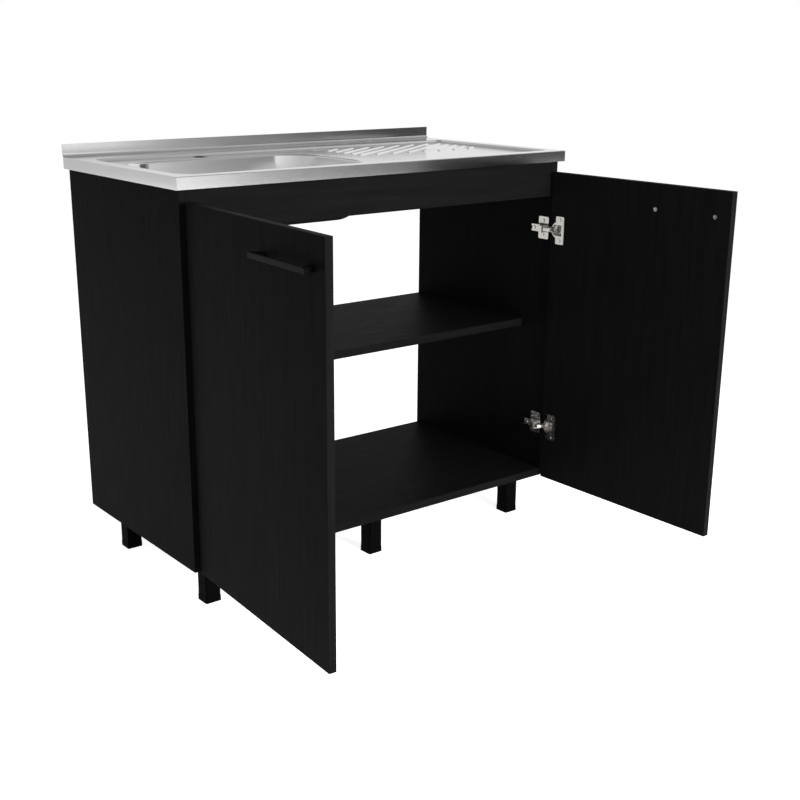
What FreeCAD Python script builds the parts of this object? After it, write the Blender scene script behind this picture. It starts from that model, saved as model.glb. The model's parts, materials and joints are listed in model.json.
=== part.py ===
import FreeCAD, Part
import math
import os
from FreeCAD import Vector

# Kitchen sink unit: a stainless steel sink top, with bowl, drainboard and
# backsplash, laid on a two-door base unit of melamine board on six legs.
# Units are millimetres. X runs along the unit with 0 at its middle, Y = 0 is
# the wall plane behind it and the front faces -Y, Z = 0 is the floor.
# The doors are modelled open, as the unit is shown.

os.makedirs("parts", exist_ok=True)

# ---- Driving dimensions ----

# Body of the base unit
body_width = 980.0
body_depth = 480.0
body_rear_gap = 7.0
panel_thickness = 15.0
shelf_board_thickness = 18.0
leg_height = 100.0
rim_height = 886.0
apron_height = 102.0
rear_rail_height = 90.0
fit_gap = 0.2
cam_play = 0.1
cutting_margin = 1.0

# Shelf
shelf_top_height = 481.0
shelf_depth = 400.0
shelf_side_gap = 1.0
pin_diameter = 5.0
pin_length = 20.0
pin_in_panel = 9.0
pin_setback = 60.0

# Legs
leg_size = 35.0
leg_wall = 3.0
leg_flange_size = 62.0
leg_flange_thickness = 3.0
leg_side_inset = 65.0
leg_front_inset = 62.0
leg_rear_inset = 58.0
leg_cap_height = 12.0
leg_cap_overhang = 0.5
leg_screw_diameter = 4.0
leg_screw_length = 14.0
leg_screw_head_diameter = 8.0
leg_screw_head_height = 2.0
leg_screw_spacing = 48.0

# Board connectors: cam, bolt and dowel
cam_diameter = 15.0
cam_depth = 12.0
cam_setback = 24.0
cam_slot = 2.0
bolt_diameter = 6.0
bolt_in_panel = 11.0
dowel_diameter = 8.0
dowel_length = 30.0
dowel_in_panel = 10.0
dowel_spacing = 32.0
base_cam_inset = 70.0

# Sink top
top_side_overhang = 10.0
top_front_overhang = 13.0
sheet = 0.8
rim_drop = 24.0
rim_width = 29.0
splash_rise = 27.0
splash_thickness = 1.6
ledge_depth = 85.0
deck_drop = 5.0
deck_corner = 12.0

# Bowl
bowl_length = 454.0
bowl_width = 287.0
bowl_depth = 120.0
bowl_corner = 75.0
bowl_draft = 14.0
bowl_floor_radius = 45.0
bowl_left_inset = 22.0
bowl_front_inset = 34.0
drain_diameter = 90.0
drain_seat_diameter = 112.0
drain_seat_depth = 4.0
tap_diameter = 35.0
tap_from_wall = 112.0
tap_left_of_drain = 10.0

# Drainboard
board_from_bowl = 61.0
board_right_inset = 14.0
board_rear_inset = 14.0
board_front_inset = 14.0
board_drop = 1.5
board_corner = 20.0
rib_angle = 34.0
rib_pitch = 46.0
rib_width = 9.0
rib_rise = 1.8
rib_end_gap = 8.0
rib_zone_depth = 158.0
rib_shortest = 30.0

# Battens between the body and the folded rim
batten_height = 20.0

# Doors
door_thickness = 15.0
door_bottom_gap = 1.0
door_below_rim = 47.0
door_side_reveal = 1.5
door_middle_gap = 2.0
door_front_gap = 1.5
left_door_angle = 93.5
right_door_angle = 91.0

# Handles
handle_length = 187.0
handle_reach = 24.0
handle_bar_thickness = 4.0
handle_bar_height = 10.0
handle_foot_length = 13.0
handle_foot_straight = 4.0
handle_hole_pitch = 152.0
handle_edge_inset = 114.0
handle_below_top = 54.0
handle_screw_diameter = 4.0
handle_screw_depth = 7.0
handle_screw_head_diameter = 9.0
handle_screw_head_height = 1.1
screw_clearance = 0.3

# Concealed hinges, in plan: u inward from the outer face of the side panel,
# v forward from its front edge, both with the door shut
hinge_from_end = 131.0
arm_pivot_u = 26.0
arm_pivot_v = 2.4
inner_pivot_u = 38.0
inner_pivot_v = -8.2
cup_pivot_u = 9.0
cup_pivot_v = 6.0
inner_cup_pivot_u = 9.3
inner_cup_pivot_v = 2.7
outer_link_ratio = -0.56
inner_link_ratio = -0.40

cup_diameter = 35.0
cup_depth = 12.6
cup_wall = 0.8
cup_edge_distance = 4.0
cup_rim_overlap = 1.5
cup_flange_thickness = 1.0
cup_flange_length = 64.0
cup_flange_width = 25.0
cup_mouth_reach = 11.5
cup_mouth_height = 25.0
cup_screw_spacing = 48.0
cup_screw_offset = 6.0
cup_screw_diameter = 3.5
cup_screw_length = 11.0
cup_screw_head_diameter = 6.6
cup_screw_head_height = 1.4

plate_length = 32.0
plate_height = 52.0
plate_thickness = 2.0
plate_front_setback = 4.0
plate_screw_setback = 22.0
plate_screw_spacing = 32.0
plate_screw_diameter = 5.0
plate_screw_length = 12.0
plate_screw_head_diameter = 8.4
plate_screw_head_height = 1.8
plate_block_setback = 14.0
plate_block_width = 11.0
plate_block_height = 11.8
plate_block_length = 30.0

arm_width = 16.0
arm_sheet = 1.2
arm_rear_v = -46.0
arm_front_v = -3.0
arm_step_v = -17.0
arm_crown_u = 41.6
arm_eye_radius = 2.4
arm_screw_diameter = 5.5
arm_screw_head_diameter = 9.0
arm_screw_head_height = 1.6
arm_screw_setbacks = (-24.0, -38.0)

hinge_pin_radius = 1.0
cup_pin_radius = 0.8
pin_play = 0.05
cup_pin_length = 16.4
link_sheet = 1.1
link_width = 11.4
inner_link_waist = 7.0
outer_link_window = 8.0
outer_link_bends = [(14.6, 10.9), (10.6, 12.4), (8.35, 10.2)]
inner_link_bends = [(28.5, 5.2), (20.0, 6.8), (11.55, 3.75)]

# ---- Levels and lines that follow from the dimensions ----

half_body = body_width / 2.0
top_length = body_width + 2.0 * top_side_overhang
top_depth = body_rear_gap + body_depth + top_front_overhang
door_top_height = rim_height - door_below_rim
body_front = -(body_rear_gap + body_depth)
body_rear = -body_rear_gap
inner_half = half_body - panel_thickness
base_top = leg_height + shelf_board_thickness
half_top = top_length / 2.0
rim_bottom = rim_height - rim_drop
rim_underside = rim_height - sheet
deck_top = rim_height - deck_drop
body_top = rim_underside
door_bottom = leg_height + door_bottom_gap
door_height = door_top_height - door_bottom
door_width = half_body - door_side_reveal - door_middle_gap / 2.0
hinge_heights = {
    "upper": door_top_height - hinge_from_end,
    "lower": door_bottom + hinge_from_end,
}
door_angles = {"left": left_door_angle, "right": right_door_angle}
shelf_bottom = shelf_top_height - shelf_board_thickness
shelf_front = body_rear - shelf_depth
UP = Vector(0, 0, 1)
ACROSS = Vector(1, 0, 0)
FORWARD = Vector(0, 1, 0)


# ---- Shape helpers ----

def box(x0, x1, y0, y1, z0, z1):
    return Part.makeBox(x1 - x0, y1 - y0, z1 - z0, Vector(x0, y0, z0))


def rod(start, direction, radius, length):
    return Part.makeCylinder(radius, length, start, direction)


def prism(points, bottom, height):
    """A closed outline in plan, raised from bottom by height."""
    corners = [Vector(x, y, bottom) for x, y in points]
    wire = Part.makePolygon(corners + [corners[0]])
    return Part.Face(wire).extrude(Vector(0, 0, height))


def rounded_block(x0, x1, y0, y1, z0, z1, radius):
    """A block with its four upright edges rounded."""
    block = box(x0, x1, y0, y1, z0, z1)
    upright = [edge for edge in block.Edges if abs(edge.tangentAt(edge.FirstParameter).z) > 0.9]
    return block.makeFillet(radius, upright)


def joined(shapes):
    whole = shapes[0]
    for shape in shapes[1:]:
        whole = whole.fuse(shape)
    return whole.removeSplitter()


def without(shape, cutters):
    for cutter in cutters:
        shape = shape.cut(cutter)
    return shape


def group(shapes):
    return Part.makeCompound(shapes)


def mirrored(shape):
    return shape.mirror(Vector(0, 0, 0), ACROSS)


def save(name, shape):
    shape.exportStep(os.path.join("parts", name + ".step"))


# ---- Board connectors ----

# Each station is a board end that meets a side panel: its place along the
# panel, its height, the side of the board that the cam is let into, and the
# direction in which its dowel lies.
board_mid_base = leg_height + shelf_board_thickness / 2.0
apron_mid_y = body_front + panel_thickness / 2.0
rail_mid_y = body_rear - panel_thickness / 2.0
apron_bottom = body_top - apron_height
rail_bottom = body_top - rear_rail_height
apron_mid_z = apron_bottom + apron_height / 2.0
rail_mid_z = rail_bottom + rear_rail_height / 2.0

base_stations = [
    (body_front + base_cam_inset, board_mid_base),
    (body_rear - base_cam_inset, board_mid_base),
]


def bolt_at(y, z):
    length = bolt_in_panel + cam_setback
    return rod(Vector(inner_half - cam_setback, y, z), ACROSS, bolt_diameter / 2.0, length)


def bolt_hole_at(y, z):
    radius = bolt_diameter / 2.0 + fit_gap
    return rod(Vector(inner_half - cam_setback, y, z), ACROSS, radius, cam_setback)


def dowel_at(y, z):
    start = inner_half + dowel_in_panel - dowel_length
    return rod(Vector(start, y, z), ACROSS, dowel_diameter / 2.0, dowel_length)


def cam_at(y, z, inward, play=0.0):
    """A cam let into a board's face; inward points from that face into the board."""
    radius = cam_diameter / 2.0 + play
    half_board = (shelf_board_thickness if abs(inward.z) > 0.5 else panel_thickness) / 2.0
    mouth = Vector(inner_half - cam_setback, y, z) - inward * half_board
    cam = rod(mouth, inward, radius, cam_depth + play)
    if play > 0.0:
        return cam
    slot = box(
        mouth.x - cam_diameter,
        mouth.x + cam_diameter,
        mouth.y - cam_slot / 2.0,
        mouth.y + cam_slot / 2.0,
        mouth.z - cam_slot / 2.0,
        mouth.z + cam_slot / 2.0,
    )
    return cam.cut(slot).cut(bolt_at(y, z))


stations = [(y, z, UP, dowel_spacing, 0.0) for y, z in base_stations]
stations.append((apron_mid_y, apron_mid_z, Vector(0, -1, 0), 0.0, dowel_spacing))
stations.append((rail_mid_y, rail_mid_z, FORWARD, 0.0, -dowel_spacing))

bolts = []
cams = []
dowels = []
panel_holes = []
board_holes = []
for y, z, inward, dowel_dy, dowel_dz in stations:
    bolts.append(bolt_at(y, z))
    cams.append(cam_at(y, z, inward))
    dowels.append(dowel_at(y + dowel_dy, z + dowel_dz))
    panel_holes.append(bolt_at(y, z))
    panel_holes.append(dowel_at(y + dowel_dy, z + dowel_dz))
    board_holes.append(bolt_hole_at(y, z))
    board_holes.append(dowel_at(y + dowel_dy, z + dowel_dz))
    board_holes.append(cam_at(y, z, inward, cam_play))
board_cutters = board_holes + [mirrored(hole) for hole in board_holes]


# ---- Hinge kinematics ----

def arm_pivot():
    return Vector(arm_pivot_u, arm_pivot_v, 0)


def inner_pivot():
    return Vector(inner_pivot_u, inner_pivot_v, 0)


def cup_pivot(angle):
    """The outer link's pivot in the cup, with the door turned by angle."""
    link = Vector(cup_pivot_u, cup_pivot_v, 0) - arm_pivot()
    turn = FreeCAD.Rotation(UP, outer_link_ratio * angle)
    return arm_pivot() + turn.multVec(link)


def with_door(shape, angle):
    moved = shape.copy()
    moved.rotate(Vector(cup_pivot_u, cup_pivot_v, 0), UP, angle)
    moved.translate(cup_pivot(angle) - Vector(cup_pivot_u, cup_pivot_v, 0))
    return moved


def with_outer_link(shape, angle):
    moved = shape.copy()
    moved.rotate(arm_pivot(), UP, outer_link_ratio * angle)
    return moved


def with_inner_link(shape, angle):
    moved = shape.copy()
    moved.rotate(inner_pivot(), UP, inner_link_ratio * angle)
    return moved


def on_side(shape, side, height=0.0):
    """From hinge plan (u, v) to its place on the left or the right of the unit."""
    placed = shape.copy()
    placed.rotate(Vector(0, 0, 0), UP, 180.0)
    placed.translate(Vector(half_body, body_front, height))
    return placed if side == "right" else mirrored(placed)


# ---- Hinge pieces, in plan (u, v) with the door shut ----

plate_front_v = -plate_front_setback
plate_rear_v = plate_front_v - plate_length
plate_face_u = panel_thickness + plate_thickness
block_top_u = plate_face_u + plate_block_height
block_front_v = -plate_block_setback
block_rear_v = block_front_v - plate_block_length
arm_rear_crown_u = block_top_u + arm_sheet
cup_centre_u = door_side_reveal + cup_edge_distance + cup_diameter / 2.0
cup_screw_u = cup_centre_u + cup_screw_offset
flange_v = door_front_gap - cup_flange_thickness
arm_inner_half = arm_width / 2.0 - arm_sheet


def plate_screw_places():
    return [-plate_screw_spacing / 2.0, plate_screw_spacing / 2.0]


def mounting_plate():
    """Winged base plate with a raised block that the arm slides on."""
    wings = box(
        panel_thickness,
        plate_face_u,
        plate_rear_v,
        plate_front_v,
        -plate_height / 2.0,
        plate_height / 2.0,
    )
    upright = [edge for edge in wings.Edges if abs(edge.tangentAt(edge.FirstParameter).x) > 0.9]
    wings = wings.makeFillet(plate_thickness * 2.0, upright)
    block = box(
        plate_face_u,
        block_top_u,
        block_rear_v,
        block_front_v,
        -plate_block_width / 2.0,
        plate_block_width / 2.0,
    )
    base = box(
        panel_thickness,
        plate_face_u,
        block_rear_v,
        plate_rear_v + plate_thickness,
        -plate_block_width / 2.0,
        plate_block_width / 2.0,
    )
    holes = [plate_screw(w, fit_gap) for w in plate_screw_places()]
    holes.append(arm_screws())
    return without(joined([wings, block, base]), holes)


def plate_screw(w, play=0.0):
    v = -plate_screw_setback
    shank = rod(
        Vector(plate_face_u - plate_screw_length - play, v, w),
        ACROSS,
        plate_screw_diameter / 2.0 + play,
        plate_screw_length + play,
    )
    if play > 0.0:
        return shank
    head = rod(
        Vector(plate_face_u, v, w), ACROSS, plate_screw_head_diameter / 2.0, plate_screw_head_height
    )
    return shank.fuse(head)


def arm_screws():
    """The two screws that hold and adjust the arm on its plate."""
    screws = []
    for v in arm_screw_setbacks:
        start = plate_face_u + plate_thickness
        shank = rod(Vector(start, v, 0), ACROSS, arm_screw_diameter / 2.0, arm_rear_crown_u - start)
        head = rod(
            Vector(arm_rear_crown_u, v, 0),
            ACROSS,
            arm_screw_head_diameter / 2.0,
            arm_screw_head_height,
        )
        screws.append(shank.fuse(head))
    return group(screws)


def hinge_arm():
    """Folded channel: a crown with two cheeks that hold both arm pins."""
    crown = [
        (arm_rear_v, arm_rear_crown_u),
        (arm_step_v, arm_rear_crown_u),
        (arm_step_v + 5.0, arm_crown_u),
        (arm_front_v, arm_crown_u),
    ]
    under = [(v, u - arm_sheet) for v, u in reversed(crown)]
    side = [(u, v) for v, u in crown + under]
    crown_sheet = prism(side, -arm_width / 2.0, arm_width)
    cheek_foot = block_top_u - 4.0
    cheek = [(u, v) for v, u in crown]
    cheek += [
        (inner_pivot_u, arm_front_v + 1.0),
        (arm_pivot_u + arm_eye_radius, arm_pivot_v),
        (arm_pivot_u, arm_pivot_v + arm_eye_radius * 0.5),
        (arm_pivot_u - arm_eye_radius, arm_pivot_v - 1.0),
        (arm_pivot_u - arm_eye_radius, arm_step_v + 8.0),
        (cheek_foot, arm_step_v),
        (cheek_foot, arm_rear_v),
    ]
    parts = [crown_sheet]
    for w in (-arm_width / 2.0, arm_inner_half):
        parts.append(prism(cheek, w, arm_sheet))
        parts.append(rod(Vector(arm_pivot_u, arm_pivot_v, w), UP, arm_eye_radius, arm_sheet))
    arm = joined(parts)
    slot_radius = arm_screw_diameter / 2.0 + fit_gap
    cutters = [rod(Vector(0, v, 0), ACROSS, slot_radius, arm_crown_u * 2.0) for v in arm_screw_setbacks]
    rear_screw_v = arm_screw_setbacks[1]
    cutters.append(
        box(0.0, arm_crown_u * 2.0, arm_rear_v - 1.0, rear_screw_v, -slot_radius, slot_radius)
    )
    for pivot in (arm_pivot(), inner_pivot()):
        start = pivot - UP * arm_width
        cutters.append(rod(start, UP, hinge_pin_radius, 2.0 * arm_width))
    return without(arm, cutters)


def arm_pins():
    pins = []
    for pivot in (arm_pivot(), inner_pivot()):
        pins.append(rod(pivot - UP * (arm_width / 2.0), UP, hinge_pin_radius, arm_width))
    return group(pins)


def strip(points, half):
    """A bent strip through points in plan, reaching half its width each way."""
    pieces = []
    for start, end in zip(points, points[1:]):
        a = Vector(start[0], start[1], -half)
        b = Vector(end[0], end[1], -half)
        along = (b - a).normalize()
        across = along.cross(UP) * (link_sheet / 2.0)
        corners = [a + across, b + across, b - across, a - across]
        pieces.append(prism([(corner.x, corner.y) for corner in corners], -half, 2.0 * half))
        pieces.append(rod(b, UP, link_sheet / 2.0, 2.0 * half))
    return pieces


def eye(centre, radius):
    return rod(centre - UP * (link_width / 2.0), UP, radius, link_width)


def eye_hole(centre, pin_radius):
    return rod(centre - UP * link_width, UP, pin_radius + pin_play, 2.0 * link_width)


def outer_link():
    """Short forked link between the arm's front pin and the cup's deep pin."""
    pivot = arm_pivot()
    cup_end = Vector(cup_pivot_u, cup_pivot_v, 0)
    points = [(pivot.x, pivot.y)] + outer_link_bends + [(cup_end.x, cup_end.y)]
    bent = joined(strip(points, link_width / 2.0))
    half_window = outer_link_window / 2.0
    window = box(0.0, arm_crown_u, arm_rear_v, arm_crown_u, -half_window, half_window)
    prongs = bent.cut(window).Solids
    arm_eye = eye(pivot, hinge_pin_radius + link_sheet)
    cup_eye = eye(cup_end, cup_pin_radius + link_sheet / 2.0)
    holes = [eye_hole(pivot, hinge_pin_radius), eye_hole(cup_end, cup_pin_radius)]
    return without(joined([arm_eye, cup_eye] + prongs), holes)


def inner_link():
    """Bowed narrow link from the arm's rear pin; it stops clear of its cup pin."""
    pivot = inner_pivot()
    points = [(pivot.x, pivot.y)] + inner_link_bends
    pieces = strip(points, inner_link_waist / 2.0)
    pieces.append(eye(pivot, hinge_pin_radius + link_sheet))
    return joined(pieces).cut(eye_hole(pivot, hinge_pin_radius))


def cup_hollow(play=0.0):
    """The drilling for the cup, or the cup's outside when play is zero."""
    centre = Vector(cup_centre_u, door_front_gap, 0)
    return rod(centre, FORWARD, cup_diameter / 2.0 + play, cup_depth + play)


def cup_screw(w, play=0.0):
    shank = rod(
        Vector(cup_screw_u, flange_v, w), FORWARD, cup_screw_diameter / 2.0 + play, cup_screw_length
    )
    if play > 0.0:
        return shank
    head = rod(
        Vector(cup_screw_u, flange_v - cup_screw_head_height, w),
        FORWARD,
        cup_screw_head_diameter / 2.0,
        cup_screw_head_height,
    )
    return shank.fuse(head)


def cup_screw_places():
    return [-cup_screw_spacing / 2.0, cup_screw_spacing / 2.0]


def hinge_cup():
    """Pressed cup with a winged flange that lies on the door's inner face."""
    radius = cup_diameter / 2.0
    body = cup_hollow()
    rim = rod(
        Vector(cup_centre_u, flange_v, 0), FORWARD, radius + cup_rim_overlap, cup_flange_thickness
    )
    flange = box(
        cup_screw_u - cup_flange_width / 2.0,
        cup_screw_u + cup_flange_width / 2.0,
        flange_v,
        door_front_gap,
        -cup_flange_length / 2.0,
        cup_flange_length / 2.0,
    )
    corners = [edge for edge in flange.Edges if abs(edge.tangentAt(edge.FirstParameter).y) > 0.9]
    flange = flange.makeFillet(cup_wall * 4.0, corners)
    inner_radius = radius - cup_wall
    hollow = rod(
        Vector(cup_centre_u, door_front_gap, 0), FORWARD, inner_radius, cup_depth - cup_wall
    )
    mouth = rod(
        Vector(cup_centre_u, flange_v, 0), FORWARD, inner_radius, cup_flange_thickness
    ).common(
        box(
            cup_centre_u - inner_radius,
            cup_centre_u + cup_mouth_reach,
            flange_v,
            door_front_gap,
            -cup_mouth_height / 2.0,
            cup_mouth_height / 2.0,
        )
    )
    holes = [cup_screw(w, fit_gap) for w in cup_screw_places()]
    cup = without(joined([body, rim, flange]), [hollow, mouth] + holes)
    return without(cup, cup_pins_shut())


def cup_pins_shut():
    pins = []
    for u, v in ((cup_pivot_u, cup_pivot_v), (inner_cup_pivot_u, inner_cup_pivot_v)):
        pins.append(rod(Vector(u, v, -cup_pin_length / 2.0), UP, cup_pin_radius, cup_pin_length))
    return pins


# ---- Doors and handles, in plan (u, v) with the door shut ----

door_outer_v = door_front_gap + door_thickness
handle_hole_far = door_side_reveal + door_width - (handle_edge_inset + handle_hole_pitch / 2.0)
handle_hole_near = handle_hole_far + handle_hole_pitch
handle_mid_u = (handle_hole_far + handle_hole_near) / 2.0
handle_z = door_top_height - handle_below_top


def handle():
    """Flat bow handle: a bar whose ends lean in to two feet."""
    half_bar = handle_length / 2.0
    half_foot = handle_foot_length / 2.0
    foot_mid = handle_hole_pitch / 2.0
    outer = door_outer_v + handle_reach
    inner = outer - handle_bar_thickness
    right_half = [
        (foot_mid - half_foot, door_outer_v),
        (foot_mid + half_foot, door_outer_v),
        (foot_mid + half_foot, door_outer_v + handle_foot_straight),
        (half_bar, outer - handle_bar_thickness * 0.5),
        (half_bar - handle_bar_thickness * 0.5, outer),
    ]
    inside = [
        (foot_mid + half_foot - handle_bar_thickness * 0.6, inner),
        (foot_mid - half_foot, door_outer_v + handle_foot_straight),
    ]
    outline = right_half
    outline += [(-x, y) for x, y in reversed(right_half)]
    outline += [(-x, y) for x, y in reversed(inside)]
    outline += inside
    outline = [(handle_mid_u + x, y) for x, y in outline]
    bar = prism(outline, handle_z - handle_bar_height / 2.0, handle_bar_height)
    holes = [handle_screw(u) for u in (handle_hole_far, handle_hole_near)]
    return without(bar, holes)


def handle_screw(u, play=0.0):
    start = Vector(u, door_front_gap, handle_z)
    radius = handle_screw_diameter / 2.0 + play
    shank = rod(start, FORWARD, radius, door_thickness + handle_screw_depth + play)
    if play > 0.0:
        return shank
    head = rod(
        start - FORWARD * handle_screw_head_height,
        FORWARD,
        handle_screw_head_diameter / 2.0,
        handle_screw_head_height,
    )
    return shank.fuse(head)


def door():
    board = box(
        door_side_reveal,
        door_side_reveal + door_width,
        door_front_gap,
        door_outer_v,
        door_bottom,
        door_top_height,
    )
    cutters = [handle_screw(u, screw_clearance) for u in (handle_hole_far, handle_hole_near)]
    for height in hinge_heights.values():
        hollow = cup_hollow(fit_gap)
        hollow.translate(UP * height)
        cutters.append(hollow)
        for w in cup_screw_places():
            hole = cup_screw(w)
            hole.translate(UP * height)
            cutters.append(hole)
    return without(board, cutters)


for side, angle in door_angles.items():
    save(side + "_door", on_side(with_door(door(), angle), side))
    save(side + "_handle", on_side(with_door(handle(), angle), side))
    screws = group([handle_screw(u) for u in (handle_hole_far, handle_hole_near)])
    save(side + "_handle_screws", on_side(with_door(screws, angle), side))
    cup_fixings = []
    cup_pins = []
    for level, height in hinge_heights.items():
        name = level + "_" + side
        save(name + "_hinge_plate", on_side(mounting_plate(), side, height))
        save(name + "_hinge_arm", on_side(hinge_arm(), side, height))
        save(name + "_hinge_cup", on_side(with_door(hinge_cup(), angle), side, height))
        save(name + "_outer_link", on_side(with_outer_link(outer_link(), angle), side, height))
        save(name + "_inner_link", on_side(with_inner_link(inner_link(), angle), side, height))
        fixing = group([cup_screw(w) for w in cup_screw_places()])
        cup_fixings.append(on_side(with_door(fixing, angle), side, height))
        pins = group(cup_pins_shut())
        cup_pins.append(on_side(with_door(pins, angle), side, height))
    save(side + "_cup_screws", group(cup_fixings))
    save(side + "_cup_pins", group(cup_pins))

plate_screws = []
all_arm_screws = []
all_arm_pins = []
plate_holes = {"left": [], "right": []}
for side in door_angles:
    for height in hinge_heights.values():
        for w in plate_screw_places():
            plate_screws.append(on_side(plate_screw(w), side, height))
            plate_holes[side].append(on_side(plate_screw(w), side, height))
        all_arm_screws.append(on_side(arm_screws(), side, height))
        all_arm_pins.append(on_side(arm_pins(), side, height))
save("hinge_plate_screws", group(plate_screws))
save("hinge_arm_screws", group(all_arm_screws))
save("hinge_arm_pins", group(all_arm_pins))


# ---- Body ----

pin_z = shelf_bottom - pin_diameter / 2.0
pin_places = [shelf_front + pin_setback, body_rear - pin_setback]


def shelf_pin(y):
    start = Vector(inner_half + pin_in_panel, y, pin_z)
    return rod(start, Vector(-1, 0, 0), pin_diameter / 2.0, pin_length)


side_board = box(inner_half, half_body, body_front, body_rear, leg_height, body_top)
side_board = without(side_board, panel_holes + [shelf_pin(y) for y in pin_places])
save("right_side_panel", without(side_board, plate_holes["right"]))
save("left_side_panel", without(mirrored(side_board), plate_holes["left"]))

pins = [shelf_pin(y) for y in pin_places]
save("shelf_pins", group(pins + [mirrored(pin) for pin in pins]))

base_board = box(-inner_half, inner_half, body_front, body_rear, leg_height, base_top)
apron_board = box(
    -inner_half, inner_half, body_front, body_front + panel_thickness, apron_bottom, body_top
)
save("front_apron", without(apron_board, board_cutters))

rail_board = box(-inner_half, inner_half, body_rear - panel_thickness, body_rear, rail_bottom, body_top)
save("rear_rail", without(rail_board, board_cutters))

shelf_half = inner_half - shelf_side_gap
save("shelf", box(-shelf_half, shelf_half, shelf_front, body_rear, shelf_bottom, shelf_top_height))

save("cam_bolts", group(bolts + [mirrored(bolt) for bolt in bolts]))
save("cams", group(cams + [mirrored(cam) for cam in cams]))
save("dowels", group(dowels + [mirrored(dowel) for dowel in dowels]))


# ---- Legs ----

leg_columns = {"left": -(half_body - leg_side_inset), "middle": 0.0, "right": half_body - leg_side_inset}
leg_rows = {"front": body_front + leg_front_inset, "rear": body_rear - leg_rear_inset}


def square(x, y, size, z0, z1, radius):
    half = size / 2.0
    return rounded_block(x - half, x + half, y - half, y + half, z0, z1, radius)


def leg_screw_offsets():
    half = leg_screw_spacing / 2.0
    return [(-half, -half), (half, -half), (half, half), (-half, half)]


def leg_screw(x, y, play=0.0):
    head_top = leg_height - leg_flange_thickness
    radius = leg_screw_diameter / 2.0 + play
    shank = rod(Vector(x, y, head_top), UP, radius, leg_screw_length + play)
    if play > 0.0:
        return shank
    head = rod(
        Vector(x, y, head_top - leg_screw_head_height),
        UP,
        leg_screw_head_diameter / 2.0,
        leg_screw_head_height,
    )
    return shank.fuse(head)


def leg(x, y):
    """Moulded square leg: a hollow post under a screw-on flange."""
    post = square(x, y, leg_size, leg_cap_height, leg_height, leg_wall)
    flange = square(
        x, y, leg_flange_size, leg_height - leg_flange_thickness, leg_height, leg_wall * 2.0
    )
    inside = leg_size - 2.0 * leg_wall
    hollow = square(x, y, inside, leg_cap_height - 1.0, leg_height - leg_wall * 2.0, leg_wall / 2.0)
    holes = [leg_screw(x + dx, y + dy, fit_gap) for dx, dy in leg_screw_offsets()]
    return without(joined([post, flange]), [hollow] + holes)


def leg_cap(x, y):
    """Foot cap: a slightly wider sole with a spigot up inside the post."""
    sole = square(x, y, leg_size + 2.0 * leg_cap_overhang, 0.0, leg_cap_height, leg_wall)
    spigot_size = leg_size - 2.0 * leg_wall
    spigot = square(x, y, spigot_size, leg_cap_height, 2.0 * leg_cap_height, leg_wall / 2.0)
    return joined([sole, spigot])


leg_screws = []
leg_caps = []
base_leg_holes = []
for row, y in leg_rows.items():
    for column, x in leg_columns.items():
        save(row + "_" + column + "_leg", leg(x, y))
        leg_caps.append(leg_cap(x, y))
        for dx, dy in leg_screw_offsets():
            leg_screws.append(leg_screw(x + dx, y + dy))
            base_leg_holes.append(leg_screw(x + dx, y + dy))
save("leg_caps", group(leg_caps))
save("leg_screws", group(leg_screws))
save("bottom_panel", without(base_board, board_cutters + base_leg_holes))


# ---- Sink top ----

deck_front = -(top_depth - rim_width)
deck_half = half_top - rim_width
board_rear = -(ledge_depth + board_rear_inset)
board_front = deck_front + board_front_inset
board_top = deck_top - board_drop
bowl_x0 = -deck_half + bowl_left_inset
bowl_x1 = bowl_x0 + bowl_length
board_left = bowl_x1 + board_from_bowl
board_right = deck_half - board_right_inset
bowl_y0 = deck_front + bowl_front_inset
bowl_y1 = bowl_y0 + bowl_width
bowl_floor = deck_top - bowl_depth
drain_x = (bowl_x0 + bowl_x1) / 2.0
drain_y = (bowl_y0 + bowl_y1) / 2.0
tap_x = drain_x - tap_left_of_drain
tap_y = -tap_from_wall
rib_radius = ((rib_width / 2.0) ** 2 + rib_rise ** 2) / (2.0 * rib_rise)


def pocket(x0, x1, y0, y1, floor, corner, grow):
    """The air over a pressed recess, grown by the sheet for its underside."""
    top = rim_height + cutting_margin
    return rounded_block(
        x0 - grow, x1 + grow, y0 - grow, y1 + grow, floor - grow, top, corner + grow
    )


def bowl_outline(inset, z):
    """The bowl's rounded outline, drawn in from its mouth by inset."""
    x0, x1 = bowl_x0 + inset, bowl_x1 - inset
    y0, y1 = bowl_y0 + inset, bowl_y1 - inset
    radius = bowl_corner - inset
    corners = [
        (x1 - radius, y1 - radius, 0.0),
        (x0 + radius, y1 - radius, 90.0),
        (x0 + radius, y0 + radius, 180.0),
        (x1 - radius, y0 + radius, 270.0),
    ]
    arcs = []
    for x, y, start in corners:
        circle = Part.Circle(Vector(x, y, z), UP, radius)
        arcs.append(circle.toShape(math.radians(start), math.radians(start + 90.0)))
    edges = []
    for number, arc in enumerate(arcs):
        following = arcs[(number + 1) % len(arcs)]
        edges.append(arc)
        edges.append(Part.makeLine(arc.lastVertex().Point, following.firstVertex().Point))
    return Part.Wire(edges)


def bowl_air(grow):
    """The air in the bowl, whose walls lean in and curve into its floor."""
    floor = bowl_floor - grow
    lean = bowl_draft / bowl_depth
    mouth = bowl_outline(-grow, deck_top)
    foot = bowl_outline(bowl_draft + lean * grow - grow, floor)
    block = Part.makeLoft([foot, mouth], True, True)
    low = [edge for edge in block.Edges if edge.BoundBox.ZMax < floor + 0.01]
    air = block.makeFillet(bowl_floor_radius + grow, low)
    throat = Part.Face(mouth).extrude(Vector(0, 0, rim_height + cutting_margin - deck_top))
    seat = rod(
        Vector(drain_x, drain_y, floor - drain_seat_depth),
        UP,
        drain_seat_diameter / 2.0 + grow,
        drain_seat_depth + bowl_depth / 2.0,
    )
    return joined([air, throat, seat])


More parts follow.
